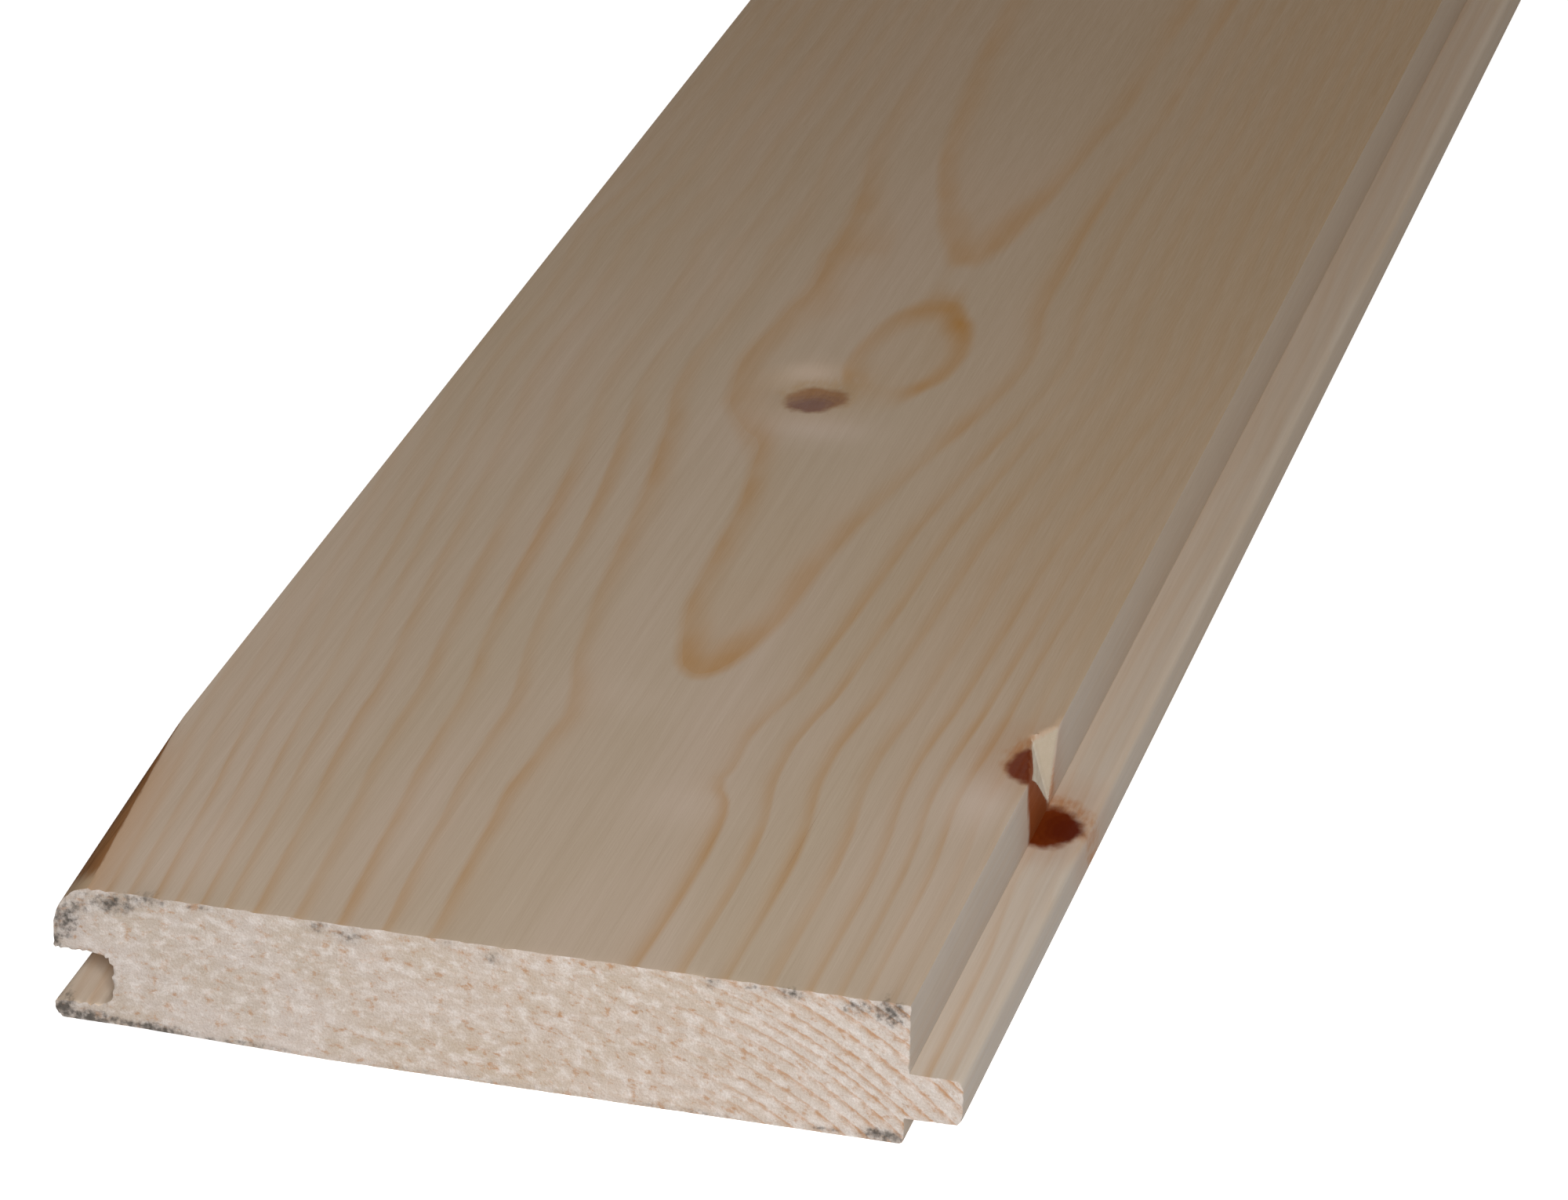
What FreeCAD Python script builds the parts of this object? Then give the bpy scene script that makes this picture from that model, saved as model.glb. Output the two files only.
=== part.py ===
import FreeCAD, Part
import math
import os

# All sizes in millimetres. X runs across the board towards the tongue, Y along the grain, Z up.

# Stock
length = 2000.0
thickness = 24.0
cover_width = 137.5

# Tongue, on the +X edge
tongue_length = 8.5
tongue_thickness = 7.8
tongue_height = 4.4          # from the underside up to the tongue
tongue_tip_radius = 1.6

# Groove, on the -X edge, made to take the tongue of the next board
tongue_face_clearance = 0.5
tongue_tip_clearance = 1.0
groove_root_radius = 2.5
groove_mouth_radius = 0.8

# Underside: set back below the tongue so the faces close first, and planed up under the groove lip
lower_shoulder_setback = 0.6
lower_shoulder_radius = 0.8
lip_relief = 0.8
lip_relief_width = 12.0      # level stretch under the lip, from its tip
lip_relief_slope_width = 33.0  # stretch over which it runs out
lower_lip_radius = 1.6

# Wane left on the face arris over the groove, at the -Y end
wane_width = 6.0
wane_depth = 7.5
wane_length = 61.0

# Chip torn from the shoulder arris beside a knot
chip_width = 3.3
chip_foot = 0.2              # shoulder left standing below it, above the tongue
chip_position = 95.4         # from the -Y end to its widest point
chip_near_length = 17.0
chip_far_length = 1.6

lip_tip = -(cover_width + tongue_length) / 2
shoulder = lip_tip + cover_width
lower_shoulder = shoulder - lower_shoulder_setback
tongue_tip = shoulder + tongue_length
tongue_top = tongue_height + tongue_thickness
groove_bottom = tongue_height - tongue_face_clearance
groove_top = tongue_top + tongue_face_clearance
groove_root = lip_tip + tongue_length + tongue_tip_clearance
relief_end = lip_tip + lip_relief_width
slope_end = relief_end + lip_relief_slope_width
near_end = -length / 2

# Section corners, anticlockwise from the lower lip: x, z, rounding radius
section = [
    (lip_tip, lip_relief, lower_lip_radius),
    (relief_end, lip_relief, 0),
    (slope_end, 0, 0),
    (lower_shoulder, 0, lower_shoulder_radius),
    (lower_shoulder, tongue_height, 0),
    (tongue_tip, tongue_height, tongue_tip_radius),
    (tongue_tip, tongue_top, tongue_tip_radius),
    (shoulder, tongue_top, 0),
    (shoulder, thickness, 0),
    (lip_tip, thickness, 0),
    (lip_tip, groove_top, groove_mouth_radius),
    (groove_root, groove_top, groove_root_radius),
    (groove_root, groove_bottom, groove_root_radius),
    (lip_tip, groove_bottom, groove_mouth_radius),
]


def rounded_wire(corners, y):
    """Closed outline across the board at y: straight sides joined by an arc at each rounded corner."""
    points = [FreeCAD.Vector(x, y, z) for x, z, radius in corners]
    ends = []
    arcs = []
    for i, (x, z, radius) in enumerate(corners):
        corner = points[i]
        to_last = (points[i - 1] - corner).normalize()
        to_next = (points[(i + 1) % len(points)] - corner).normalize()
        half_angle = to_last.getAngle(to_next) / 2
        reach = radius / math.tan(half_angle)
        start = corner + to_last * reach
        end = corner + to_next * reach
        ends.append((start, end))
        if radius:
            bisector = (to_last + to_next).normalize()
            middle = corner + bisector * (radius / math.sin(half_angle) - radius)
            arcs.append(Part.Arc(start, middle, end).toShape())
        else:
            arcs.append(None)
    edges = []
    for i, arc in enumerate(arcs):
        if arc:
            edges.append(arc)
        edges.append(Part.makeLine(ends[i][1], ends[(i + 1) % len(ends)][0]))
    return Part.Wire(edges)


def arris_loss(corner_x, outward, new_surface, y_end):
    """Wood lost from a face arris, cut back to the edge new_surface (face to side) and run out at y_end."""
    on_face = new_surface.Vertexes[0].Point
    on_side = new_surface.Vertexes[1].Point
    beside = on_side + FreeCAD.Vector(outward, 0, 0)
    over = FreeCAD.Vector(beside.x, on_face.y, thickness + 1)
    above = on_face + FreeCAD.Vector(0, 0, 1)
    rest = Part.makePolygon([on_side, beside, over, above, on_face])
    outline = Part.Wire([new_surface] + rest.Edges)
    point = Part.Vertex(corner_x, y_end, thickness)
    return Part.makeLoft([outline, point], True, True)


# Planed stock
board = Part.Face(rounded_wire(section, near_end)).extrude(FreeCAD.Vector(0, length, 0))

# Wane: a parabola at the end, tangent to the face and to the lip's side
wane_corner = FreeCAD.Vector(lip_tip, near_end, thickness)
wane_on_face = wane_corner + FreeCAD.Vector(wane_width, 0, 0)
wane_on_side = wane_corner - FreeCAD.Vector(0, 0, wane_depth)
wane_curve = Part.BezierCurve()
wane_curve.setPoles([wane_on_face, wane_corner, wane_on_side])
wane = arris_loss(lip_tip, -1, wane_curve.toShape(), near_end + wane_length)

# Chip: a flat torn face, run out both ways from its widest point
chip_middle = near_end + chip_position
chip_on_face = FreeCAD.Vector(shoulder - chip_width, chip_middle, thickness)
chip_on_side = FreeCAD.Vector(shoulder, chip_middle, tongue_top + chip_foot)
chip_line = Part.makeLine(chip_on_face, chip_on_side)
near_chip = arris_loss(shoulder, 1, chip_line, chip_middle - chip_near_length)
far_chip = arris_loss(shoulder, 1, chip_line, chip_middle + chip_far_length)

board = board.cut(wane).cut(near_chip.fuse(far_chip))
board = board.Solids[0]

os.makedirs("parts", exist_ok=True)
board.exportStep("parts/board.step")
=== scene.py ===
import math

import bpy
import numpy as np
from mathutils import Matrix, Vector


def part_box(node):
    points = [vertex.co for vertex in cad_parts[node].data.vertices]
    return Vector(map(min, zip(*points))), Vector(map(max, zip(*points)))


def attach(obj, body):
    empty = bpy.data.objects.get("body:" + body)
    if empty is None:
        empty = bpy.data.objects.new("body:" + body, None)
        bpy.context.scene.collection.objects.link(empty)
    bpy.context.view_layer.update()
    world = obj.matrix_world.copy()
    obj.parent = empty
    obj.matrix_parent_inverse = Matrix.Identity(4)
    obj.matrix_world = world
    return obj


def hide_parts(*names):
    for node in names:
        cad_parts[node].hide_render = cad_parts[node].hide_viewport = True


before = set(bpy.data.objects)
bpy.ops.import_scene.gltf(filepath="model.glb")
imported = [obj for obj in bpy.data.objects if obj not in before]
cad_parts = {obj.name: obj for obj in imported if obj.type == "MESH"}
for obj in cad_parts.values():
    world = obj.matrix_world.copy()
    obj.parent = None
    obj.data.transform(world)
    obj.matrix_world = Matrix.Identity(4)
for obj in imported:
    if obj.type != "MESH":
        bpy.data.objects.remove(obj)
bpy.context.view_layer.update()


# The board: one length of spruce sawn flat from the side of a log, planed on its four sides and
# run through a moulder that cuts the groove and the tongue. Both ends are left from the saw, a bit
# of the log's outside shows as wane at one corner, and a knot has torn a chip from the face arris.
mm = 0.001

# Sizes in millimetres: x runs across the board towards the tongue, y along the grain and z up
(lip_tip, near_end, underside), (tongue_tip, far_end, face) = (np.array(c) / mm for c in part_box("board"))
tongue_length = 8.5
tongue_bottom, tongue_top = 4.4, 12.2
groove_bottom, groove_top = 3.9, 12.7
groove_root = -63.5
shoulder = tongue_tip - tongue_length
lower_shoulder_setback = 0.6
lower_shoulder = shoulder - lower_shoulder_setback
relief_end, slope_end = -61.0, -28.0
lip_relief = 0.8
wane_width, wane_depth, wane_length = 6.0, 7.5, 61.0
wane_roundness = 1.9
chip_foot = 0.2
chip_width, chip_depth = 3.3, face - tongue_top - chip_foot
chip_near, chip_middle, chip_far = -921.6, -905.2, -899.5
next_to_nothing = 1e-9


def tint(red, green, blue):
    """A colour given as 0 to 255, made linear for a shader."""
    c = np.array([red, green, blue]) / 255
    return (*np.where(c < 0.04045, c / 12.92, ((c + 0.055) / 1.055) ** 2.4), 1.0)


# Knots: place on the face, half size across and along the grain, lean of the branch for each unit of
# height, place of its pith in half sizes, how far the rings swerve round it, and the colours of its heart,
# its rim and its halo
dark_red, dark_red_rim, red_stain = tint(94, 30, 6), tint(118, 50, 14), tint(184, 122, 70)
dull_brown, dull_rim, dull_stain = tint(138, 99, 82), tint(170, 126, 86), tint(200, 168, 130)
red, red_rim = tint(108, 46, 18), tint(156, 82, 38)
brown, brown_rim = tint(120, 62, 34), tint(164, 98, 54)
pale_brown, pale_rim = tint(140, 86, 54), tint(174, 112, 64)
resin = tint(204, 150, 98)
knots = [
    ((65.0, -914.6), (6.0, 7.6), (-0.08, -0.13), (0.7, 0.1), 1.0, dark_red, dark_red_rim, red_stain),
    ((-7.6, -781.0), (6.2, 7.4), (-0.10, 0.22), (0.0, -0.45), 0.0, dull_brown, dull_rim, dull_stain),
    ((27.0, -352.0), (4.2, 5.6), (0.26, 0.30), (0.2, 0.0), 1.8, brown, brown_rim, resin),
    ((-41.0, -96.0), (2.6, 3.4), (-0.45, 0.25), (-0.2, 0.1), 1.2, brown, brown_rim, resin),
    ((12.0, 148.0), (6.4, 8.2), (0.10, 0.28), (0.1, 0.2), 2.4, pale_brown, pale_rim, resin),
    ((-58.0, 402.0), (3.6, 5.0), (-0.62, 0.35), (0.3, 0.0), 1.6, red, red_rim, resin),
    ((46.0, 455.0), (1.6, 2.1), (0.48, 0.20), (0.0, 0.2), 0.8, brown, brown_rim, resin),
    ((33.0, 668.0), (5.0, 6.6), (0.36, 0.30), (0.3, 0.1), 2.0, brown, brown_rim, resin),
    ((-21.0, 874.0), (4.4, 5.8), (-0.24, 0.26), (-0.2, 0.0), 1.8, pale_brown, pale_rim, resin),
]


def spaced(stops, steps):
    """Places that meet every stop, each stretch between two stops cut evenly into about its own step."""
    counts = [max(1, round((b - a) / step)) for a, b, step in zip(stops, stops[1:], steps)]
    stretches = [np.linspace(a, b, n, endpoint=False) for a, b, n in zip(stops, stops[1:], counts)]
    return np.concatenate(stretches + [stops[-1:]])


def take_off_corner(x, z, corner_x, corner_z, width, depth, power):
    """Draws the box beside a corner in behind the curve u^power + v^power = 1, where u and v run from 0 on
    the far sides of the box to 1 at the corner: power 2 rounds it off, and power 1 cuts it straight."""
    u = 1 - (x - corner_x) / width
    v = 1 - (z - corner_z) / depth
    in_box = (u >= 0) & (u <= 1) & (v >= 0) & (v <= 1)
    u, v = np.clip(u, next_to_nothing, 1), np.clip(v, next_to_nothing, 1)
    drawn_in = np.maximum(u, v) / (u**power + v**power) ** (1 / power)
    new_x = corner_x + width * (1 - u * drawn_in)
    new_z = corner_z + depth * (1 - v * drawn_in)
    depth_in = np.minimum(u, v) * np.minimum(abs(width), abs(depth))
    return np.where(in_box, new_x, x), np.where(in_box, new_z, z), np.where(in_box, depth_in, 0)


def run_out(y, y_wide, y_end):
    """A share that falls in a straight line from 1 at y_wide to nothing at y_end."""
    return np.clip((y - y_end) / (y_wide - y_end), next_to_nothing, 1)


def weathered_arrises(x, y, z):
    """The wane and the chip, cut from the face arrises, with how deep each point lies in them."""
    wane = run_out(y, near_end, near_end + wane_length)
    width, depth = wane_width * wane, -wane_depth * wane
    x, z, in_wane = take_off_corner(x, z, lip_tip, face, width, depth, wane_roundness)
    chip = np.where(y < chip_middle, run_out(y, chip_middle, chip_near), run_out(y, chip_middle, chip_far))
    chip = np.where((y > chip_near) & (y < chip_far), chip, next_to_nothing)
    x, z, in_chip = take_off_corner(x, z, shoulder, face, -chip_width * chip, -chip_depth * chip, 1)
    return x, z, in_wane, in_chip


# Section: a grid of columns and rows that meet every face of the groove and tongue, with the corners
# rounded as the cutters leave them: each corner, and how far across and up from it the rounding reaches
beside_chip = 56.0
columns = spaced(
    [lip_tip, groove_root, relief_end, slope_end, beside_chip, lower_shoulder, shoulder, tongue_tip],
    [0.6, 0.85, 1.5, 1.5, 0.6, 0.6, 0.65],
)
rows = spaced(
    [underside, groove_bottom, tongue_bottom, tongue_top, groove_top, face],
    [0.65, 0.5, 0.65, 0.5, 0.7],
)
section_x, section_z = np.meshgrid(columns, rows)
lift = np.interp(section_x, [relief_end, slope_end], [lip_relief, 0])
section_z = np.where(
    section_z < groove_bottom,
    lift + section_z * (groove_bottom - lift) / groove_bottom,
    section_z,
)
cutter_corners = [
    (lip_tip, lip_relief, 1.6, 1.6),
    (lower_shoulder, underside, -0.8, 0.8),
    (tongue_tip, tongue_bottom, -1.6, 1.6),
    (tongue_tip, tongue_top, -1.6, -1.6),
    (shoulder, face, -0.2, -0.2),
    (lip_tip, groove_top, 0.8, 0.8),
    (lip_tip, groove_bottom, 0.8, -0.8),
    (groove_root, groove_top, -2.5, -2.5),
    (groove_root, groove_bottom, -2.5, 2.5),
]
for corner_x, corner_z, width, depth in cutter_corners:
    section_x, section_z, _ = take_off_corner(section_x, section_z, corner_x, corner_z, width, depth, 2)

cell_x = (columns[1:] + columns[:-1]) / 2
cell_z = (rows[1:, None] + rows[:-1, None]) / 2
groove_cells = (cell_x < groove_root) & (cell_z > groove_bottom) & (cell_z < groove_top)
over_tongue = (cell_x > shoulder) & (cell_z > tongue_top)
under_tongue = (cell_x > lower_shoulder) & (cell_z < tongue_bottom)
wood_cells = ~(groove_cells | over_tongue | under_tongue)
grid = np.arange(section_x.size).reshape(section_x.shape)
cells = np.stack([grid[:-1, :-1], grid[:-1, 1:], grid[1:, 1:], grid[1:, :-1]], -1)[wood_cells]


def walk(x_from, z_from, x_to, z_to):
    """Grid points along one straight side of the outline, its first point in and its last one out."""
    c = [int(np.argmin(abs(columns - x))) for x in (x_from, x_to)]
    r = [int(np.argmin(abs(rows - z))) for z in (z_from, z_to)]
    steps = abs(c[1] - c[0]) + abs(r[1] - r[0])
    way_c, way_r = np.sign(c[1] - c[0]), np.sign(r[1] - r[0])
    return grid[r[0] + way_r * np.arange(steps), c[0] + way_c * np.arange(steps)]


turns = [
    (lip_tip, underside), (lower_shoulder, underside), (lower_shoulder, tongue_bottom),
    (tongue_tip, tongue_bottom), (tongue_tip, tongue_top), (shoulder, tongue_top), (shoulder, face),
    (lip_tip, face), (lip_tip, groove_top), (groove_root, groove_top), (groove_root, groove_bottom),
    (lip_tip, groove_bottom),
]
outline = np.concatenate([walk(*a, *b) for a, b in zip(turns, turns[1:] + turns[:1])])
outline_x = section_x.ravel()[outline]
outline_z = section_z.ravel()[outline]

# Along the board: close rows at the ends, the chip and the face knot, wide ones where nothing changes
stations = spaced(
    [near_end, -998.0, -990.0, -926.0, chip_middle, chip_far,
     -796.0, -764.0, -480.0, 990.0, 998.0, far_end],
    [0.5, 2.0, 4.0, 1.2, 0.8, 4.2, 2.0, 5.0, 20.0, 2.0, 0.5],
)

# Sawn ends: fibres torn out of the arrises, most of all in the groove and least along the underside
run_x = np.roll(outline_x, -1) - np.roll(outline_x, 1)
run_z = np.roll(outline_z, -1) - np.roll(outline_z, 1)
inward_x, inward_z = -run_z / np.hypot(run_x, run_z), run_x / np.hypot(run_x, run_z)
margin = 0.1
level_with_groove = (outline_z > groove_bottom - margin) & (outline_z < groove_top + margin)
by_groove = level_with_groove & (outline_x < groove_root + margin)
foot = 1.0
in_groove_ragged, foot_ragged, plain_ragged = 2.5, 0.2, 1.0
raggedness = np.where(by_groove, in_groove_ragged, np.where(outline_z < foot, foot_ragged, plain_ragged))
fray_shape, fray_scale, deepest_fray, fray_reach = 1.3, 0.06, 0.42, 1.1
tear_shape, tear_scale, deepest_tear, broken_back = 1.6, 0.07, 0.5, 0.2
draw = np.random.default_rng(11)
fray = np.clip(draw.gamma(fray_shape, fray_scale, (2, len(outline))) * raggedness, 0, deepest_fray)


def frayed(x, y, z):
    """The outline drawn in at each point by its own amount, which dies away within a few millimetres of
    an end."""
    near_share = np.exp((near_end - y) / fray_reach)
    far_share = np.exp((y - far_end) / fray_reach)
    amount = fray[0] * near_share + fray[1] * far_share
    return x + amount * inward_x, z + amount * inward_z


def end_face(y):
    """A sawn end: the section's grid at y, its points pushed in unevenly as torn fibres leave them, and
    its arrises broken back a little further."""
    at_end = np.full(section_x.size, y)
    x, z, in_wane, in_chip = weathered_arrises(section_x.ravel(), at_end, section_z.ravel())
    torn = np.clip(draw.gamma(tear_shape, tear_scale, section_x.size), 0, deepest_tear)
    further = draw.uniform(0.0, broken_back, len(outline))
    torn[outline] = (torn[outline] + further) * np.minimum(raggedness, 1)
    x[outline], z[outline] = frayed(x[outline], y, z[outline])
    return np.stack([x, y - np.sign(y) * torn, z], -1), in_wane, in_chip


near_points, near_wane, near_chip = end_face(near_end)
far_points, far_wane, far_chip = end_face(far_end)
inner = stations[1:-1, None]
sides_x, sides_z, sides_wane, sides_chip = weathered_arrises(outline_x[None, :], inner, outline_z[None, :])
sides_x, sides_z = frayed(sides_x, inner, sides_z)


def spread(a, b, middle_a, middle_b, half_a, half_b):
    """How far points lie from the middle of a spot, in its half sizes both ways, squared."""
    return ((a - middle_a) / half_a) ** 2 + ((b - middle_b) / half_b) ** 2


hollow_depth, hollow_spot = 0.8, (-10.0, -775.5, 6.5, 8.0)


def hollow(x, y):
    """Depth of the hollow where the planer pulled at the wood beside the face knot, level in its middle
    and soft at its rim: a bell curve of the fourth power of the distance."""
    return hollow_depth * np.exp(-spread(x, y, *hollow_spot) ** 2)


hair = 0.01
on_face = sides_z > face - hair
sides_z = np.where(on_face, sides_z - hollow(sides_x, inner), sides_z)
sides = np.stack([sides_x, np.broadcast_to(inner, sides_x.shape), sides_z], -1).reshape(-1, 3)

# Skin: the sides as strips from one loop of points to the next, closed by the two ends
points = np.concatenate([near_points, sides, far_points])
in_wane = np.concatenate([near_wane, sides_wane.ravel(), far_wane])
in_chip = np.concatenate([near_chip, sides_chip.ravel(), far_chip])
first_side, first_far = len(near_points), len(near_points) + len(sides)
loops = np.concatenate([
    outline[None, :],
    first_side + np.arange(len(sides)).reshape(len(inner), -1),
    first_far + outline[None, :],
])
next_point = np.roll(loops, -1, axis=1)
strips = np.stack([loops[:-1], loops[1:], next_point[1:], next_point[:-1]], -1).reshape(-1, 4)
faces = np.concatenate([strips, cells, first_far + cells[:, ::-1]])
kept, faces = np.unique(faces, return_inverse=True)
faces = faces.reshape(-1, 4)
points, in_wane, in_chip = points[kept], in_wane[kept], in_chip[kept]
x, y, z = points.T

# Flat layout of the skin: the long sides unrolled round the section, with more room for the near quarter,
# and the two ends below them
layout_size = 1024
border = 0.003
near_end_scale, far_end_scale = 5 / layout_size, 3.2 / layout_size
near_end_low, far_end_low = 0.09, 0.006
sides_low, sides_height = 0.215, 0.78
near_quarter, near_quarter_u = 500, 0.4
side_step = np.hypot(np.roll(outline_x, -1) - outline_x, np.roll(outline_z, -1) - outline_z)
around = np.concatenate([[0], np.cumsum(side_step)])
side_v = sides_low + sides_height * around / around[-1]
side_stops = [near_end, near_end + near_quarter, far_end]
side_u = np.interp(stations, side_stops, [border, near_quarter_u, 1 - border])
strip_u = np.stack([side_u[:-1], side_u[1:], side_u[1:], side_u[:-1]], -1)[:, None, :]
strip_v = np.stack([side_v[:-1], side_v[:-1], side_v[1:], side_v[1:]], -1)[None, :, :]
strip_layout = np.stack(np.broadcast_arrays(strip_u, strip_v), -1).reshape(-1, 2)
end_layout = np.stack([section_x - lip_tip, section_z], -1).reshape(-1, 2)
near_layout = (border, near_end_low) + near_end_scale * end_layout[cells].reshape(-1, 2)
far_layout = (border, far_end_low) + far_end_scale * end_layout[cells[:, ::-1]].reshape(-1, 2)
layout = np.concatenate([strip_layout, near_layout, far_layout])

# Heart of the log, which the rings run round: places along the board, with how far it dips there below its
# level at the near end, and where it lies across. This draws the rings on the face into points and ovals.
face_radius = 90
heart_dips = [
    (-1000, 0), (-972, -0.2), (-947, -0.25), (-935, 0.07), (-919, 0.27), (-909, 0.05), (-898, -0.35),
    (-872, -0.75), (-850, -0.9), (-831, -1.05), (-810, -1.5), (-800, -1.75), (-787, -2.3), (-766, -2.95),
    (-756, -3.0), (-746, -2.85), (-738, -2.62), (-731, -2.35), (-716, -2.25), (-702, -2.45), (-691, -2.68),
    (-675, -3.05), (-654, -3.55), (-626, -3.95), (-590, -4.2), (-500, -4.4), (-400, -5.6), (-250, -4.5),
    (-100, -5.3), (60, -3.3), (230, -4.4), (400, -2.0), (560, -3.1), (720, -0.9), (860, -1.7), (1000, 0.3),
]
heart_places = [
    (-1000, 4.6), (-960, 4.0), (-930, 2.0), (-900, 2.2), (-870, 2.0), (-835, 2.3), (-800, 3.3),
    (-787, 3.0), (-770, 3.5), (-750, 4.5), (-710, 3.5), (-690, 1.5), (-660, -1.0), (-626, -1.2),
    (-590, -2.5), (-540, -3.0), (-400, -1.0), (-200, 4.0), (0, 8.0), (250, 3.0), (500, -4.0),
    (750, -2.0), (1000, 3.0),
]


def read_off(places, pairs):
    """Values at places along the board, in straight lines between pairs of a place and its value."""
    return np.interp(places, *zip(*pairs))


def heart_of_log(y):
    """Where the log's heart runs beside the board: its place across and its height, read from the listed
    points and smoothed over a few millimetres, with the slope of both."""
    past_end = 60
    along = np.arange(near_end - past_end, far_end + past_end + 1)
    bell = np.hanning(9)
    bell = bell / bell.sum()
    across = np.convolve(read_off(along, heart_places), bell, "same")
    height = np.convolve(face - face_radius - read_off(along, heart_dips), bell, "same")
    return [np.interp(y, along, v) for v in (across, height, np.gradient(across), np.gradient(height))]


heart_x, heart_z, drift_x, drift_z = heart_of_log(y)

# Each point's place in the knot nearest to it, in half sizes from the branch's axis and from its pith, with
# the points that no knot reaches put far off
knot_place, knot_half, knot_lean, knot_pith, knot_pull, *knot_colours = map(np.array, zip(*knots))
in_knots = points[None, :, :2] - knot_place[:, None] - knot_lean[:, None] * (z - face)[None, :, None]
in_knots = in_knots / knot_half[:, None]
nearest = np.linalg.norm(in_knots, axis=-1).argmin(0)
in_nearest = in_knots[nearest, np.arange(len(points))]
stain_reach = 4.5
widest_cell = np.array([3.0, 20.0])
far_off = 99.0
out_of_reach = (abs(in_nearest) > stain_reach + widest_cell / knot_half[nearest]).any(-1, keepdims=True)
in_nearest = np.where(out_of_reach, far_off, in_nearest)
from_nearest_pith = in_nearest - knot_pith[nearest]

# Swerve of the rings: outwards round the knots, back at a kink near the end and in the hollow, and further
# and further outwards on the groove side
swerve_reach = (1.8, 2.3)
swerve = (knot_pull[:, None] * np.exp(-((in_knots / swerve_reach) ** 2).sum(-1))).sum(0)
kink_depth, kink_spot = 0.3, (17, -936, 5, 4)
swerve -= kink_depth * np.exp(-spread(x, y, *kink_spot))
outward_from = read_off(y, [(-714, -12), (-650, -17), (-600, -18.5)])
outward_slope = read_off(y, [
    (-1000, 0), (-960, 0.033), (-860, 0.1), (-800, 0.155), (-757, 0.155), (-714, 0.185), (-700, 0.156),
    (-680, 0.115), (-650, 0.088), (-600, 0.065), (-300, 0),
])
swerve += outward_slope * np.maximum(outward_from - x, 0)
swerve -= hollow(x, y)

# Late-wood lines: plain over the whole width at the near end, then only about the middle, as the rest of
# the wood grows even, and fainter on the tongue side
faintest = 0.2
strong_middle, strong_rim = 2, 4
strong_half_width = read_off(y, [(-1000, 70), (-850, 44), (-750, 26), (-650, 20), (-480, 20), (-300, 70)])
from_strong = abs(x - strong_middle) - strong_half_width
middle_strength = read_off(y, [(-1000, 0.85), (-880, 0.98), (-780, 1.15), (-480, 1.15), (-300, 0.9)])
tongue_side_strength = read_off(y, [(-900, 1.0), (-840, 0.65)])
tongue_side_from, tongue_side_rim = 12, 14
tongue_side = np.clip((x - tongue_side_from) / tongue_side_rim, 0, 1)
middle_strength *= 1 + (tongue_side_strength - 1) * tongue_side
line_strength = faintest + (middle_strength - faintest) / (1 + np.exp(from_strong / strong_rim))

# Spots where the lines are stronger or fainter, down to none where the grain dives under the face knot, and
# spots where they are narrower: place, half size, change
strength_spots = [
    (0.0, -785.0, 15.0, 13.0, -0.95), (2.0, -842.0, 14.0, 52.0, -0.3), (5.0, -736.0, 9.0, 9.0, 0.2),
    (22.0, -955.0, 12.0, 25.0, 0.18), (48.0, -915.0, 14.0, 30.0, -0.2), (-14.0, -724.0, 5.5, 13.0, -0.8),
    (24.0, -745.0, 8.0, 45.0, -0.25), (14.0, -600.0, 8.0, 50.0, -0.45), (54.0, -907.0, 7.0, 15.0, 0.4),
    (55.0, -985.0, 9.0, 25.0, -0.45), (13.0, -757.0, 6.0, 14.0, -0.3), (-42.0, -935.0, 17.0, 85.0, -0.4),
    (-17.0, -950.0, 8.0, 45.0, 0.3), (39.0, -985.0, 9.0, 22.0, -0.33), (39.0, -850.0, 9.0, 75.0, -0.35),
    (53.0, -850.0, 8.0, 35.0, 0.5), (3.0, -680.0, 14.0, 55.0, -0.4), (2.0, -722.0, 8.0, 8.0, -0.5),
    (-27.0, -690.0, 6.0, 45.0, 0.7), (-21.0, -765.0, 6.0, 28.0, -0.3), (-16.0, -640.0, 6.0, 30.0, -0.35),
    (18.0, -810.0, 9.0, 20.0, -0.5), (-45.0, -815.0, 10.0, 40.0, 0.5), (-58.0, -850.0, 8.0, 30.0, 0.6),
]
for *spot, change in strength_spots:
    line_strength *= 1 + change * np.exp(-spread(x, y, *spot) ** 2)
narrow_spots = [(4.0, -760.0, 14.0, 16.0, -0.5), (2.0, -665.0, 20.0, 22.0, -0.25)]
relative_width = np.ones(len(points))
for *spot, change in narrow_spots:
    relative_width += change * np.exp(-spread(x, y, *spot))

# Paler wood on the face, where the grain turns up at a knot or a kink, and a painted highlight on the far
# rim of the hollow beside the face knot, the fourth mark: place, half size, strength
pale_and_highlight_marks = [
    (58.5, -930.0, 5.5, 11.0, 1.15), (14.0, -945.0, 7.0, 8.0, 0.5), (-6.0, -910.0, 8.0, 8.0, 0.3),
    (-11.0, -769.5, 4.5, 4.5, 1.0), (-4.0, -793.5, 9.0, 6.0, 1.0), (-53.0, -986.0, 14.0, 16.0, 0.4),
]
pale = np.zeros(len(points))
pale_depth = 1
for *mark, strength in pale_and_highlight_marks:
    shade = strength * np.exp(-spread(x, y, *mark))
    pale = np.maximum(pale, np.where(z > face - pale_depth, shade, 0))
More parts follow.
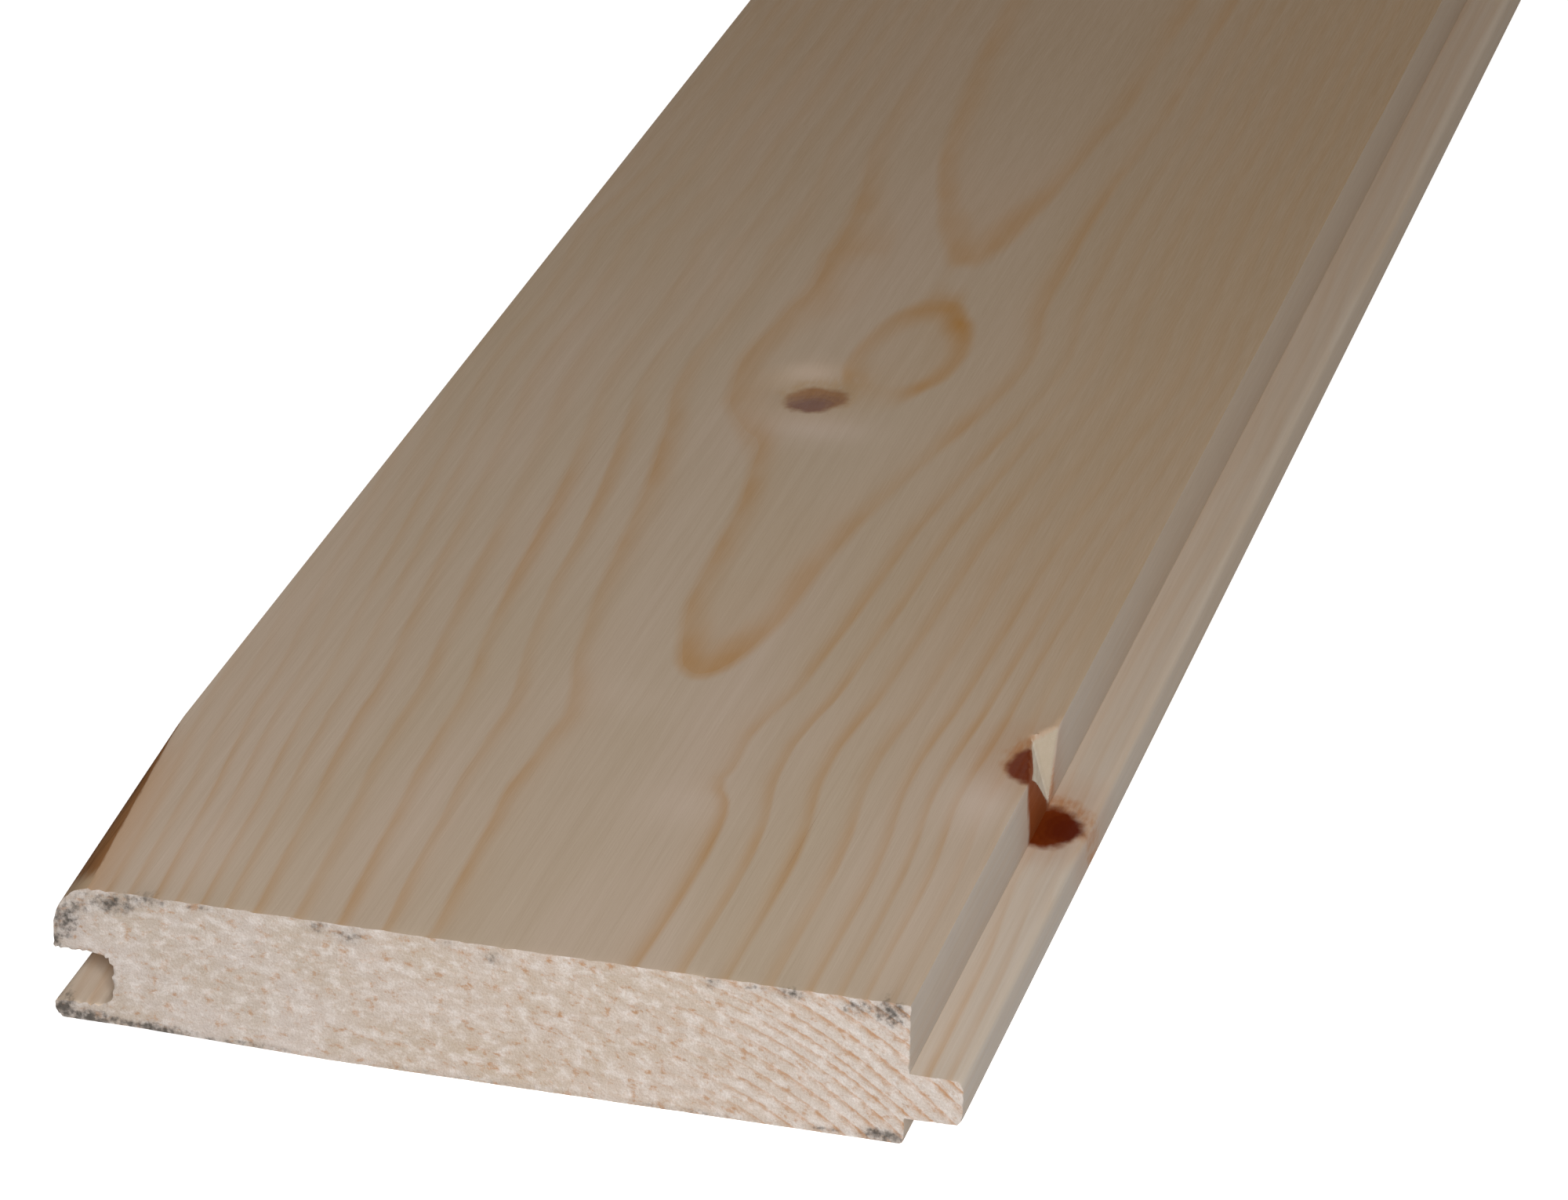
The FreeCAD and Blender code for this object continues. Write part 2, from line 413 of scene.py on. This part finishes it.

# Dark marks on the near end, yard dirt at its corners and thin dark lines along its top and bottom arrises:
# place across and up, half size across and up, strength
dirt_marks = [
    (-71.0, 18.0, 2.4, 3.0, 1.1), (-69.0, 20.5, 2.5, 1.5, 0.8), (-63.0, 22.0, 3.6, 1.7, 1.1),
    (-72.4, 14.5, 1.2, 1.8, 1.0), (-68.0, 22.8, 2.6, 1.0, 0.5), (-58.0, 23.2, 4.0, 0.9, 0.9),
    (-49.0, 23.4, 3.0, 0.6, 0.6), (-29.5, 23.0, 1.6, 0.9, 1.0), (-24.5, 22.2, 2.6, 1.5, 0.8),
    (-9.0, 23.2, 2.0, 0.8, 0.5), (-1.5, 22.0, 2.2, 1.4, 0.6), (33.5, 23.0, 1.2, 0.9, 1.0),
    (40.0, 23.3, 1.4, 0.6, 0.9), (45.5, 23.1, 2.4, 0.9, 1.0), (56.0, 22.4, 3.0, 1.3, 0.8),
    (61.5, 22.2, 2.6, 2.2, 1.1), (60.5, 0.9, 3.5, 1.1, 1.3), (52.0, 0.6, 4.0, 0.6, 0.6),
    (-71.5, 2.2, 2.2, 2.2, 1.4), (-67.0, 1.3, 5.0, 1.3, 1.3), (-57.0, 1.0, 7.0, 1.0, 1.2),
    (-42.0, 0.6, 9.0, 0.6, 0.8), (-5.0, 0.3, 30.0, 0.5, 0.5), (30.0, 0.3, 20.0, 0.5, 0.5),
    (-70.2, 3.5, 0.9, 0.6, 0.8),
]
dirt = np.zeros(len(points))
dirt_reach = 4.0
for *mark, strength in dirt_marks:
    dirt = np.maximum(dirt, strength * np.exp(-spread(x, z, *mark) - (y - near_end) / dirt_reach))

board_mesh = bpy.data.meshes.new("board_wood")
board_mesh.from_pydata(points * mm, [], faces)
numbers = {
    "in_wane": in_wane, "in_chip": in_chip, "line_strength": line_strength, "line_width": relative_width,
    "pale": pale, "dirt": dirt,
}
for name, values in numbers.items():
    board_mesh.attributes.new(name, "FLOAT", "POINT").data.foreach_set("value", values.astype(np.float32))
nothing = np.zeros(len(points))
vectors = {
    "heart": (heart_x, swerve, heart_z), "drift": (drift_x, nothing, drift_z),
    "in_knot": (*in_nearest.T, nothing), "from_pith": (*from_nearest_pith.T, nothing),
}
for name, colours in zip(("knot_heart", "knot_rim", "knot_halo"), knot_colours):
    vectors[name] = colours[nearest, :3].T
for name, parts in vectors.items():
    values = np.stack(parts, -1).astype(np.float32).ravel()
    board_mesh.attributes.new(name, "FLOAT_VECTOR", "POINT").data.foreach_set("vector", values)
board_mesh.uv_layers.new(name="OFBake").data.foreach_set("uv", layout.astype(np.float32).ravel())
skins = np.repeat([0, 1], [len(strips), 2 * len(cells)]).astype(np.int32)
board_mesh.polygons.foreach_set("material_index", skins)
board_mesh.polygons.foreach_set("use_smooth", np.ones(len(faces), bool))
sharp_from = 50
board_mesh.set_sharp_from_angle(angle=math.radians(sharp_from))
board = bpy.data.objects.new("tongue_and_groove_board", board_mesh)
bpy.context.collection.objects.link(board)


def fill(tree, socket, value):
    """Links a socket to an input, or sets the input to a value."""
    if isinstance(value, bpy.types.NodeSocket):
        tree.links.new(value, socket)
    else:
        socket.default_value = value


def node(tree, kind, *given, **settings):
    """Adds a node and fills its inputs in order, passing over those given as None."""
    made = tree.nodes.new("ShaderNode" + kind)
    for name, value in settings.items():
        setattr(made, name, value)
    for socket, value in zip(made.inputs, given):
        if value is not None:
            fill(tree, socket, value)
    return made


def maths(tree, operation, *values):
    """One sum on numbers."""
    return node(tree, "Math", *values, operation=operation).outputs[0]


def times(tree, *values):
    """All the numbers multiplied together."""
    product = values[0]
    for value in values[1:]:
        product = maths(tree, "MULTIPLY", product, value)
    return product


def vector(tree, operation, *values):
    """One sum on places or directions that gives another."""
    return node(tree, "VectorMath", *values, operation=operation).outputs[0]


def length(tree, value):
    """How long a direction is, or how far a place lies from the middle."""
    return node(tree, "VectorMath", value, operation="LENGTH").outputs["Value"]


def fade(tree, value, low, high, first=0.0, last=1.0):
    """Runs softly from first to last as the value goes from low to high."""
    return node(tree, "MapRange", value, low, high, first, last, interpolation_type="SMOOTHSTEP").outputs[0]


def cloud(tree, place, grain, detail=3.0, rough=0.55):
    """Noise from 0 to 1 with about as many lumps to the millimetre each way as grain says."""
    scaled = vector(tree, "MULTIPLY", place, grain)
    return node(tree, "TexNoise", scaled, None, 1.0, detail, rough).outputs[0]


def over(tree, share, under, top):
    """Lays a share of one colour over another."""
    made = node(tree, "Mix", data_type="RGBA")
    for index, value in ((0, share), (6, under), (7, top)):
        fill(tree, made.inputs[index], value)
    return made.outputs[2]


def effect(name, takes, gives):
    """A new node group: its tree, its input sockets by name and the sockets that its results go to."""
    tree = bpy.data.node_groups.new(name, "ShaderNodeTree")
    for label, kind in takes.items():
        tree.interface.new_socket(label, in_out="INPUT", socket_type="NodeSocket" + kind)
    for label, kind in gives.items():
        tree.interface.new_socket(label, in_out="OUTPUT", socket_type="NodeSocket" + kind)
    return tree, tree.nodes.new("NodeGroupInput").outputs, tree.nodes.new("NodeGroupOutput").inputs


def use(tree, group, values):
    """Places a group in a tree with its own values and returns its outputs."""
    made = node(tree, "Group", node_tree=group)
    for label, value in values.items():
        fill(tree, made.inputs[label], value)
    return made.outputs


# Growth rings: cylinders about the log's heart, moved by the swerve. Going outwards, each turns slowly from
# pale early wood to tan late wood and back at once. Their edges are counted from the face's radius.
ring_edges = [
    -26.0, -23.6, -21.2, -18.8, -16.4, -14.0, -11.6, -9.2, -6.9, -4.6, -2.45, -0.35, 1.5, 3.1, 5.2, 7.7,
    10.4, 12.5, 14.5, 16.6, 18.7, 21.0, 23.2, 25.4, 27.6, 30.0,
]
ring_count = len(ring_edges) - 1
first_edge, all_rings = ring_edges[0], ring_edges[-1] - ring_edges[0]
mean_ring = 2.2
growth_rings, given, result = effect(
    "growth_rings",
    {"Place": "Vector", "Heart": "Vector", "Drift": "Vector", "Normal": "Vector", "Line Width": "Float"},
    {"Line": "Float", "Late": "Float", "Ring Tone": "Float"},
)
tree = growth_rings
swerve_here = node(tree, "SeparateXYZ", given["Heart"]).outputs[1]
from_heart = vector(tree, "SUBTRACT", given["Place"], given["Heart"])
from_heart = vector(tree, "MULTIPLY", from_heart, (1.0, 0.0, 1.0))
outwards = vector(tree, "NORMALIZE", from_heart)
waver = maths(tree, "MULTIPLY_ADD", cloud(tree, given["Place"], (0.06, 0.012, 0.06), 2.0), 0.5, -0.25)
counted_radius = maths(tree, "ADD", maths(tree, "SUBTRACT", length(tree, from_heart), swerve_here), waver)
past_first = maths(tree, "SUBTRACT", counted_radius, face_radius + first_edge)
counter = node(tree, "FloatCurve", None, maths(tree, "DIVIDE", past_first, all_rings))
curve = counter.mapping.curves[0]
curve.points[0].location = 0, 0
curve.points[1].location = 1, 1
for i, edge in enumerate(ring_edges[1:-1], 1):
    curve.points.new((edge - first_edge) / all_rings, i / ring_count)
for point in curve.points:
    point.handle_type = "AUTO_CLAMPED"
counter.mapping.update()
ring_number = maths(tree, "MULTIPLY", counter.outputs[0], ring_count)
phase = maths(tree, "FRACT", ring_number)

# Width of a late-wood line on the surface: the lines spread, and darken, where the surface runs along the
# rings, though less than the rings themselves run apart
plain_steepness, spread_power = 0.25, 0.4
soft_width, sharp_width = 1.9, 0.6
tilt = node(tree, "VectorMath", outwards, given["Drift"], operation="DOT_PRODUCT").outputs["Value"]
backwards = node(tree, "CombineXYZ", 0.0, maths(tree, "MULTIPLY", tilt, -1.0), 0.0).outputs[0]
climb = vector(tree, "ADD", outwards, backwards)
climb = vector(tree, "SUBTRACT", climb, vector(tree, "PROJECT", climb, given["Normal"]))
steepness = maths(tree, "MAXIMUM", length(tree, climb), 0.01)
spreading = times(tree, maths(tree, "POWER", steepness, spread_power), plain_steepness ** (1 - spread_power))
ring_on_face = maths(tree, "DIVIDE", mean_ring, spreading)
inside_edge = times(tree, maths(tree, "SUBTRACT", 1.0, phase), ring_on_face)
outside_edge = times(tree, phase, ring_on_face)
soft_side = fade(tree, maths(tree, "DIVIDE", inside_edge, given["Line Width"]), 0.0, soft_width, 1.0, 0.0)
sharp_side = fade(tree, maths(tree, "DIVIDE", outside_edge, given["Line Width"]), 0.0, sharp_width, 1.0, 0.0)
line = maths(tree, "MAXIMUM", soft_side, sharp_side)
tree.links.new(times(tree, line, fade(tree, steepness, 0.02, 0.14, 1.7, 1.0)), result["Line"])
late = times(tree, fade(tree, phase, 0.4, 1.0), fade(tree, phase, 0.96, 1.0, 1.0, 0.6))
tree.links.new(late, result["Late"])
tone = node(tree, "TexWhiteNoise", None, maths(tree, "FLOOR", ring_number), noise_dimensions="1D").outputs[0]
tree.links.new(tone, result["Ring Tone"])


def marked(tree, name):
    """A number kept with the board's points."""
    return node(tree, "Attribute", attribute_name=name).outputs["Fac"]


def traced(tree, name):
    """A place, direction or colour kept with the board's points."""
    return node(tree, "Attribute", attribute_name=name).outputs["Vector"]


def cut_through_rings(tree, line_width):
    """The point on the board in millimetres, and the growth rings there."""
    coordinates = node(tree, "TexCoord").outputs["Object"]
    place = node(tree, "VectorMath", coordinates, None, None, 1 / mm, operation="SCALE").outputs[0]
    normal = node(tree, "NewGeometry").outputs["Normal"]
    values = {"Place": place, "Normal": normal, "Line Width": line_width}
    values["Heart"] = traced(tree, "heart")
    values["Drift"] = traced(tree, "drift")
    return place, use(tree, growth_rings, values)


def smudged(tree, place):
    """How much dirt lies on a point: a grey veil over each mark, with dark specks that thin out at its
    rim."""
    dirt_here = marked(tree, "dirt")
    grit = cloud(tree, place, (0.9, 0.4, 0.9))
    specks = fade(tree, maths(tree, "MULTIPLY_ADD", dirt_here, 0.35, grit), 0.5, 1.0, 0.0, 0.95)
    veil = times(tree, dirt_here, 0.3)
    return maths(tree, "MAXIMUM", veil, times(tree, specks, fade(tree, dirt_here, 0.05, 0.5)))


# Planed faces: the four sides, with the rings cut along the grain. The wood is paler at the near end and on
# the tongue, and tan and darker further off, partly its own tone and partly painted shade for the light
# falling off along the board. Across, along and height are in metres here.
pink_wood, warm_wood = tint(210, 190, 171), tint(203, 184, 161)
far_tone_and_painted_shade, tan_wood = tint(186, 160, 131), tint(188, 159, 124)
tongue_wood, near_upright_painted_shade, far_upright_painted_shade = tint(216, 204, 191), tint(192, 184, 177), tint(190, 174, 158)
groove_mouth, groove_inside_painted_shade = tint(224, 208, 191), tint(176, 130, 88)
dark_fibre, pale_fibre = tint(188, 165, 138), tint(214, 196, 176)
late_tan, turned_up_wood_and_highlight = tint(190, 134, 54), tint(228, 208, 193)
planed = bpy.data.materials.new("planed_spruce")
planed.use_nodes = True
tree = planed.node_tree
shader = tree.nodes["Principled BSDF"]
coordinates = node(tree, "TexCoord").outputs["Object"]
across, along, height = node(tree, "SeparateXYZ", coordinates).outputs
line_width = times(tree, fade(tree, along, -0.95, -0.72, 1.5, 2.4), marked(tree, "line_width"))
place, rings_here = cut_through_rings(tree, line_width)
facing = node(tree, "SeparateXYZ", node(tree, "NewGeometry").outputs["Normal"]).outputs
on_flat = fade(tree, maths(tree, "ABSOLUTE", facing[2]), 0.2, 0.9)
fibre = cloud(tree, place, (0.9, 0.014, 0.9), 4.0, 0.65)
fine_fibre = cloud(tree, place, (3.5, 0.10, 3.5), 2.0)
patch = cloud(tree, place, (0.035, 0.008, 0.035), 2.0)
wood = over(tree, fade(tree, patch, 0.3, 0.7), pink_wood, warm_wood)
# Darker further along: partly the wood's own tone, partly painted shade for the light falling off
wood = over(tree, fade(tree, along, -0.85, -0.5, 0.0, 0.85), wood, far_tone_and_painted_shade)
tan_side = times(tree, fade(tree, across, 0.0, 0.05), fade(tree, along, -0.96, -0.83, 0.0, 0.6))
wood = over(tree, tan_side, wood, tan_wood)
on_tongue = times(tree, fade(tree, across, 0.0643, 0.0648), fade(tree, along, -0.95, -0.8, 0.9, 0.7))
wood = over(tree, on_tongue, wood, tongue_wood)
# Painted shade: the vertical faces get a greyer, darker copy of the wood, as less light falls on them,
# browner further along
upright_painted_shade = over(tree, fade(tree, along, -0.93, -0.8), near_upright_painted_shade, far_upright_painted_shade)
wood = over(tree, maths(tree, "MULTIPLY_ADD", on_flat, -0.8, 0.8), wood, upright_painted_shade)
in_groove = times(
    tree,
    fade(tree, across, -0.0631, -0.0636),
    fade(tree, height, 0.0131, 0.0127),
    fade(tree, height, 0.003, 0.0037),
)
wood = over(tree, times(tree, in_groove, fade(tree, along, -0.992, -0.984, 0.8, 0.0)), wood, groove_mouth)
# Painted shade: brown from about 10 mm in from the near end onwards, inside the groove where its lips shade
# it
wood = over(tree, times(tree, in_groove, fade(tree, along, -0.99, -0.982, 0.0, 0.4)), wood, groove_inside_painted_shade)
wood = over(tree, fade(tree, fibre, 0.3, 0.75, 0.0, 0.3), wood, dark_fibre)
wood = over(tree, fade(tree, fine_fibre, 0.25, 0.75, 0.0, 0.25), wood, pale_fibre)
line_share = times(
    tree,
    maths(tree, "MULTIPLY_ADD", rings_here["Ring Tone"], 0.35, 0.65),
    maths(tree, "MULTIPLY_ADD", on_flat, 0.8, 0.2),
    marked(tree, "line_strength"),
    fade(tree, cloud(tree, place, (0.06, 0.025, 0.06)), 0.3, 0.65, 0.5, 1.05),
)
late_wood = maths(tree, "MULTIPLY_ADD", rings_here["Late"], 0.18, times(tree, rings_here["Line"], 0.46))
wood = over(tree, times(tree, late_wood, line_share), wood, late_tan)
# Pale wood where the grain turns up, and the painted highlight on the far rim of the knot's hollow
wood = over(tree, times(tree, marked(tree, "pale"), 0.55), wood, turned_up_wood_and_highlight)

# Knots: the branch's own wood, dark and ringed, in a halo of resin-stained wood
upright_knot = tint(170, 104, 62)
year_line_rate, year_line_depth = 26.0, 0.06
ragged = maths(tree, "MULTIPLY_ADD", cloud(tree, place, (0.2, 0.16, 0.1)), 0.7, -0.35)
streaks = cloud(tree, place, (0.9, 0.25, 0.9), 3.0, 0.6)
in_knot = traced(tree, "in_knot")
branch = fade(tree, maths(tree, "ADD", length(tree, in_knot), ragged), 0.76, 1.10, 1.0, 0.0)
beyond = maths(tree, "ADD", length(tree, vector(tree, "SUBTRACT", in_knot, (0.0, 0.3, 0.0))), ragged)
halo = times(tree, fade(tree, beyond, 0.9, 1.6, 0.75, 0.0), fade(tree, streaks, 0.3, 0.65, 0.5, 1.0))
halo = maths(tree, "MAXIMUM", halo, fade(tree, beyond, 1.0, 2.8, 0.22, 0.0))
from_pith = maths(tree, "ADD", length(tree, traced(tree, "from_pith")), ragged)
year_lines = maths(tree, "SINE", times(tree, from_pith, year_line_rate))
ringed = maths(tree, "MULTIPLY_ADD", year_lines, year_line_depth, from_pith)
core = traced(tree, "knot_heart")
knot = over(tree, fade(tree, ringed, 0.3, 1.15), core, traced(tree, "knot_rim"))
knot = over(tree, fade(tree, streaks, 0.35, 0.75, 0.0, 0.35), knot, core)
knot = over(tree, maths(tree, "MULTIPLY_ADD", on_flat, -0.3, 0.3), knot, upright_knot)
wood = over(tree, halo, wood, traced(tree, "knot_halo"))
wood = over(tree, branch, wood, knot)

# Wane: brown wood from under the bark, with a stain on the face beside it and torn pale at the sawn end
wane_stain, torn_pale = tint(200, 156, 116), tint(202, 178, 150)
bark_brown, dark_bark_brown = tint(152, 108, 70), tint(124, 84, 52)
wane_edge = maths(tree, "MULTIPLY_ADD", along, wane_width / wane_length, across)
beside_wane = times(
    tree,
    fade(tree, wane_edge, -0.1654, -0.1595, 0.5, 0.0),
    fade(tree, along, -0.965, -0.935, 1.0, 0.0),
    fade(tree, height, 0.014, 0.016),
)
wood = over(tree, beside_wane, wood, wane_stain)
bark_side = over(tree, fade(tree, fibre, 0.35, 0.65), bark_brown, dark_bark_brown)
torn_front = maths(tree, "MULTIPLY_ADD", fine_fibre, 0.006, along)
bark_side = over(tree, fade(tree, torn_front, -0.9955, -0.989, 0.8, 0.0), bark_side, torn_pale)
wood = over(tree, fade(tree, marked(tree, "in_wane"), 0.03, 0.3), wood, bark_side)

# Chip: fresh pale wood where it tore, with painted shade where it faces the near end and the front lamp,
# and some of the knot left on it
fresh_pale, fresh_warm, fresh_painted_shade = tint(230, 218, 201), tint(218, 202, 180), tint(184, 169, 148)
fresh = over(tree, fade(tree, fibre, 0.35, 0.7), fresh_pale, fresh_warm)
# Painted shade on the chip's far wall, which faces the front lamp
fresh = over(tree, fade(tree, facing[1], -0.4, 0.0, 0.85, 0.0), fresh, fresh_painted_shade)
knot_left = maths(tree, "MULTIPLY_ADD", fine_fibre, 0.3, fade(tree, along, -0.914, -0.907, 0.6, -0.12))
torn_in = maths(tree, "SUBTRACT", marked(tree, "in_chip"), knot_left)
wood = over(tree, fade(tree, torn_in, 0.0, 0.3), wood, fresh)

# Dirt, gloss and the raised fibres of planed softwood
side_dirt = tint(74, 68, 62)
fibre_strength, fibre_depth = 0.3, 0.0002
wood = over(tree, smudged(tree, place), wood, side_dirt)
tree.links.new(wood, shader.inputs["Base Color"])
rough = maths(tree, "SUBTRACT", fade(tree, fibre, 0.3, 0.7, 0.62, 0.74), times(tree, branch, 0.18))
tree.links.new(rough, shader.inputs["Roughness"])
shader.inputs["Specular IOR Level"].default_value = 0.01
relief = maths(tree, "ADD", times(tree, fine_fibre, 0.5), times(tree, fibre, 0.6))
bump = node(tree, "Bump", fibre_strength, fibre_depth, None, relief)
tree.links.new(bump.outputs[0], shader.inputs["Normal"])

# Sawn ends: the same rings cut across, clear towards the tongue, and elsewhere lost under flecks and lifted
# fibres, which lie level on the groove side and slant more and more towards the tongue
cool_end, warm_end = tint(196, 186, 179), tint(187, 175, 163)
tan_end, tongue_end = tint(194, 174, 152), tint(182, 166, 151)
pale_early, late_band, fleck = tint(214, 208, 204), tint(184, 142, 108), tint(176, 138, 106)
lifted_pale, fuzz_painted_shade, end_dirt = tint(220, 214, 210), tint(150, 118, 92), tint(84, 79, 74)
end_line_width = 0.7
level_at, slant = -50.0, 0.0016
elsewhere = (31.0, 0.0, 17.0)
fuzz_strength, fuzz_depth = 0.45, 0.0004
sawn = bpy.data.materials.new("sawn_end_grain")
sawn.use_nodes = True
tree = sawn.node_tree
shader = tree.nodes["Principled BSDF"]
place, rings_here = cut_through_rings(tree, end_line_width)
across = node(tree, "SeparateXYZ", place).outputs[0]
from_level = maths(tree, "SUBTRACT", across, level_at)
rise = node(tree, "CombineXYZ", 0.0, 0.0, times(tree, from_level, from_level, slant)).outputs[0]
slanted = vector(tree, "ADD", place, rise)
flecks = cloud(tree, slanted, (0.45, 0.3, 0.70), 4.0, 0.65)
lifted = cloud(tree, vector(tree, "ADD", slanted, elsewhere), (0.40, 0.3, 0.56), 4.0, 0.62)
fuzz = cloud(tree, place, (2.6, 0.4, 2.6), 2.0, 0.6)
stain = cloud(tree, place, (0.08, 0.02, 0.12))
to_tongue = fade(tree, across, 15.0, 62.0)
wood = over(tree, fade(tree, stain, 0.35, 0.65), cool_end, warm_end)
wood = over(tree, fade(tree, across, -45.0, 5.0, 0.0, 0.3), wood, tan_end)
wood = over(tree, times(tree, to_tongue, 0.55), wood, tongue_end)
early = maths(tree, "SUBTRACT", 1.0, rings_here["Late"])
wood = over(tree, times(tree, early, to_tongue, 0.5), wood, pale_early)
band = times(
    tree,
    maths(tree, "MULTIPLY_ADD", rings_here["Late"], 0.6, times(tree, rings_here["Line"], 0.45)),
    maths(tree, "MULTIPLY_ADD", to_tongue, 0.95, 0.06),
    fade(tree, flecks, 0.35, 0.6, 0.5, 1.0),
)
wood = over(tree, band, wood, late_band)
flecked = times(
    tree,
    fade(tree, flecks, 0.52, 0.68, 0.0, 0.95),
    fade(tree, across, -30.0, 10.0, 0.8, 1.0),
    maths(tree, "MULTIPLY_ADD", to_tongue, -0.25, 1.0),
)
wood = over(tree, flecked, wood, fleck)
wood = over(tree, fade(tree, lifted, 0.42, 0.70, 0.0, 0.7), wood, lifted_pale)
# Painted shade in the hollows between the lifted fibres, where the fuzz bump is low
wood = over(tree, fade(tree, fuzz, 0.3, 0.7, 0.2, 0.0), wood, fuzz_painted_shade)
wood = over(tree, smudged(tree, place), wood, end_dirt)
tree.links.new(wood, shader.inputs["Base Color"])
shader.inputs["Roughness"].default_value = 0.9
shader.inputs["Specular IOR Level"].default_value = 0.0
bump = node(tree, "Bump", fuzz_strength, fuzz_depth, None, fuzz)
tree.links.new(bump.outputs[0], shader.inputs["Normal"])

board_mesh.materials.append(planed)
board_mesh.materials.append(sawn)
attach(board, "root")
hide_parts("board")


# Studio: a pale paper floor that the board lies on and warm dim air round it. Both are white to the camera
# and in gloss and glass, apart from the board's shadow on the paper.
floor_half = 6.0
paper_glow, paper_grey = 0.86, 0.85
air_colour, air_glow = (1.0, 0.86, 0.70, 1.0), 0.13
white = (1.0, 1.0, 1.0, 1.0)


def seen_itself(tree):
    """1 for a ray from the camera, from gloss or through glass, and 0 for one that only carries light."""
    ray = node(tree, "LightPath").outputs
    seen = maths(tree, "MAXIMUM", ray["Is Camera Ray"], ray["Is Glossy Ray"])
    return maths(tree, "MAXIMUM", seen, ray["Is Transmission Ray"])


floor_mesh = bpy.data.meshes.new("studio_floor")
floor_corners = floor_half * np.array([(-1, -1, 0), (1, -1, 0), (1, 1, 0), (-1, 1, 0)])
floor_mesh.from_pydata(floor_corners, [], [(0, 1, 2, 3)])
floor = bpy.data.objects.new("studio_floor", floor_mesh)
bpy.context.collection.objects.link(floor)
paper = bpy.data.materials.new("white_paper")
paper.use_nodes = True
tree = paper.node_tree
tree.nodes.clear()
glow = node(tree, "Emission", white, times(tree, seen_itself(tree), paper_glow))
matt = node(tree, "BsdfDiffuse", (paper_grey, paper_grey, paper_grey, 1.0))
both = node(tree, "AddShader", glow.outputs[0], matt.outputs[0])
node(tree, "OutputMaterial", both.outputs[0])
floor_mesh.materials.append(paper)

air = bpy.data.worlds.new("studio_air")
air.use_nodes = True
tree = air.node_tree
tree.nodes.clear()
soft_light = node(tree, "Background", air_colour, air_glow)
backdrop = node(tree, "Background", white, 1.0)
mixed = node(tree, "MixShader", seen_itself(tree), soft_light.outputs[0], backdrop.outputs[0])
node(tree, "OutputWorld", mixed.outputs[0])
bpy.context.scene.world = air


# Camera: a long lens above the near end, a little to the tongue side, turned slightly. It stands still and
# is sharp all along the board.
camera_place = (0.2764, -1.9094, 0.5268)
azimuth, elevation, roll = (math.radians(a) for a in (14.37, 25.02, 1.18))
ahead = np.array([-math.sin(azimuth), math.cos(azimuth), 0.0])
back = -math.cos(elevation) * ahead + (0.0, 0.0, math.sin(elevation))
level = np.array([math.cos(azimuth), math.sin(azimuth), 0.0])
right = math.cos(roll) * level + math.sin(roll) * np.cross(back, level)
turned = np.eye(4)
turned[:3, 0] = right
turned[:3, 1] = np.cross(back, right)
turned[:3, 2] = back
turned[:3, 3] = camera_place
camera_data = bpy.data.cameras.new("camera")
camera_data.sensor_width = 36.0
camera_data.lens = 161.2
camera_data.clip_end = 50.0
camera = bpy.data.objects.new("camera", camera_data)
camera.matrix_world = turned.T.tolist()
bpy.context.collection.objects.link(camera)
bpy.context.scene.camera = camera


# Lamps: flat soft boxes. One stands beside the camera, a cool one lights the tongue side, one lights the far
# end, and a narrow beam from above lights the length between.
def soft_lamp(name, at, towards, width, depth, watts, colour=(1.0, 1.0, 1.0), beam=180.0):
    """A flat lamp of soft light that faces a point, its beam held to so many degrees."""
    data = bpy.data.lights.new(name, "AREA")
    data.shape = "RECTANGLE"
    data.size = width
    data.size_y = depth
    data.energy = watts
    data.color = colour
    data.spread = math.radians(beam)
    lamp = bpy.data.objects.new(name, data)
    aim = np.array(at) - np.array(towards)
    lamp.location = at
    lamp.rotation_euler = (math.atan2(math.hypot(aim[0], aim[1]), aim[2]), 0, math.atan2(aim[0], -aim[1]))
    bpy.context.collection.objects.link(lamp)


cool = (0.82, 0.92, 1.0)
soft_lamp("front_lamp", (0.30, -1.90, 0.56), (0.0, -0.95, 0.0), 0.35, 0.35, 11.1)
soft_lamp("side_lamp", (1.50, -1.10, 0.45), (0.0, -0.85, 0.0), 0.6, 0.6, 2.6, cool)
soft_lamp("back_lamp", (-0.45, 1.95, 0.75), (0.0, 0.95, 0.0), 0.5, 0.5, 9.0)
soft_lamp("top_lamp", (0.0, 0.3, 0.9), (0.0, 0.3, 0.0), 0.5, 1.1, 1.0, beam=50.0)

bpy.context.scene.view_settings.view_transform = "Standard"
